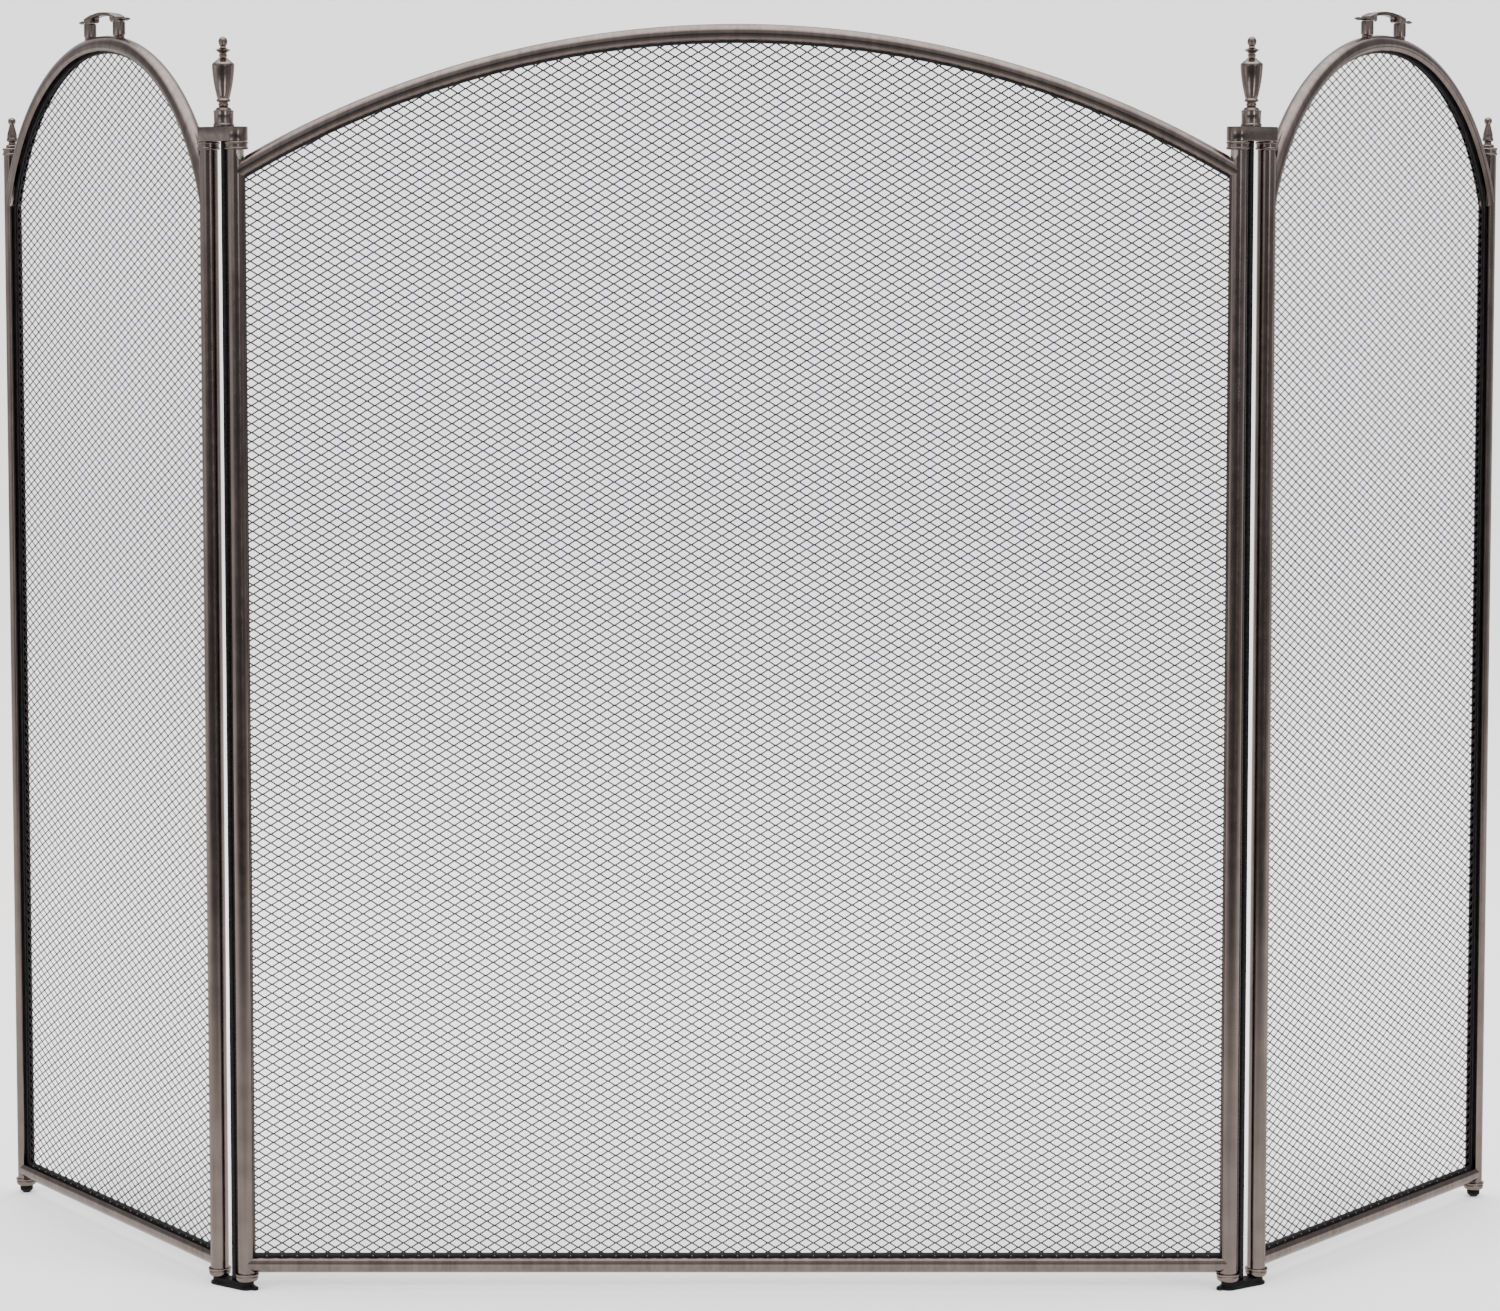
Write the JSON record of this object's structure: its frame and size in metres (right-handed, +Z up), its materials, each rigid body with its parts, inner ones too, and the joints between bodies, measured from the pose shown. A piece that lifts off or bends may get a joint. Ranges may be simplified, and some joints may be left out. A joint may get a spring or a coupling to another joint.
{
  "type": "folding fireplace screen",
  "caption": "Folding fireplace screen: an arched mesh centre panel with a narrow arched mesh wing hinged at each side, lift handles and finials.",
  "frame": {"origin": "on the floor, at the middle of the screen's box as it stands with its wings folded back", "axes": "+X to the right of someone facing the screen, along the centre panel; +Y from the front of the screen to its back, where the fire is; +Z up"},
  "size_m": [1.1078, 0.2698, 0.8805],
  "materials": {
    "tube": "pewter-coloured plating on steel tube, softly polished",
    "cast": "pewter-coloured plating on castings, satin polished",
    "mesh": "black coated expanded steel, semi-matt",
    "black_steel": "black coated steel, satin",
    "pin_steel": "plain turned steel",
    "plastic": "black moulded plastic, satin"
  },
  "bodies": {
    "center_panel": {"center_left_post": "tube", "center_right_post": "tube", "center_arch": "tube", "center_bottom_rail": "tube", "center_mesh": "mesh", "center_mesh_edging": "black_steel", "center_left_top_bush": "cast", "center_right_top_bush": "cast", "center_left_bottom_bush": "cast", "center_right_bottom_bush": "cast"},
    "left_link": {"left_hinge_link": "cast", "left_hinge_finial": "cast", "left_hinge_tie_rod": "black_steel", "left_hinge_foot": "plastic", "left_hinge_top_center_pin": "pin_steel", "left_hinge_top_wing_pin": "pin_steel", "left_hinge_bottom_center_pin": "pin_steel", "left_hinge_bottom_wing_pin": "pin_steel"},
    "left_wing": {"left_wing_inner_post": "tube", "left_wing_outer_post": "tube", "left_wing_arch": "tube", "left_wing_bottom_rail": "tube", "left_wing_mesh": "mesh", "left_wing_mesh_edging": "black_steel", "left_wing_inner_top_bush": "cast", "left_wing_inner_bottom_bush": "cast", "left_wing_outer_top_cap": "cast", "left_wing_outer_bottom_bush": "cast", "left_wing_finial": "cast", "left_wing_glide": "plastic", "left_wing_handle_inner_leg": "cast", "left_wing_handle_outer_leg": "cast", "left_wing_handle_grip": "cast"},
    "right_link": {"right_hinge_link": "cast", "right_hinge_finial": "cast", "right_hinge_tie_rod": "black_steel", "right_hinge_foot": "plastic", "right_hinge_top_center_pin": "pin_steel", "right_hinge_top_wing_pin": "pin_steel", "right_hinge_bottom_center_pin": "pin_steel", "right_hinge_bottom_wing_pin": "pin_steel"},
    "right_wing": {"right_wing_inner_post": "tube", "right_wing_outer_post": "tube", "right_wing_arch": "tube", "right_wing_bottom_rail": "tube", "right_wing_mesh": "mesh", "right_wing_mesh_edging": "black_steel", "right_wing_inner_top_bush": "cast", "right_wing_inner_bottom_bush": "cast", "right_wing_outer_top_cap": "cast", "right_wing_outer_bottom_bush": "cast", "right_wing_finial": "cast", "right_wing_glide": "plastic", "right_wing_handle_inner_leg": "cast", "right_wing_handle_outer_leg": "cast", "right_wing_handle_grip": "cast"}
  },
  "joints": [
    {"name": "left_center_pivot", "type": "hinge", "parent": "center_panel", "child": "left_link", "pos_m": [-0.34489, -0.12658, 0.4], "axis": [0, 0, 1], "range_deg": [-56, 34]},
    {"name": "left_wing_pivot", "type": "hinge", "parent": "left_link", "child": "left_wing", "pos_m": [-0.36561, -0.1126, 0.4], "axis": [0, 0, 1], "range_deg": [-71, 19]},
    {"name": "right_center_pivot", "type": "hinge", "parent": "center_panel", "child": "right_link", "pos_m": [0.33011, -0.12658, 0.4], "axis": [0, 0, 1], "range_deg": [-32, 58]},
    {"name": "right_wing_pivot", "type": "hinge", "parent": "right_link", "child": "right_wing", "pos_m": [0.35131, -0.11334, 0.4], "axis": [0, 0, 1], "range_deg": [-17.5, 72.5]}
  ]
}
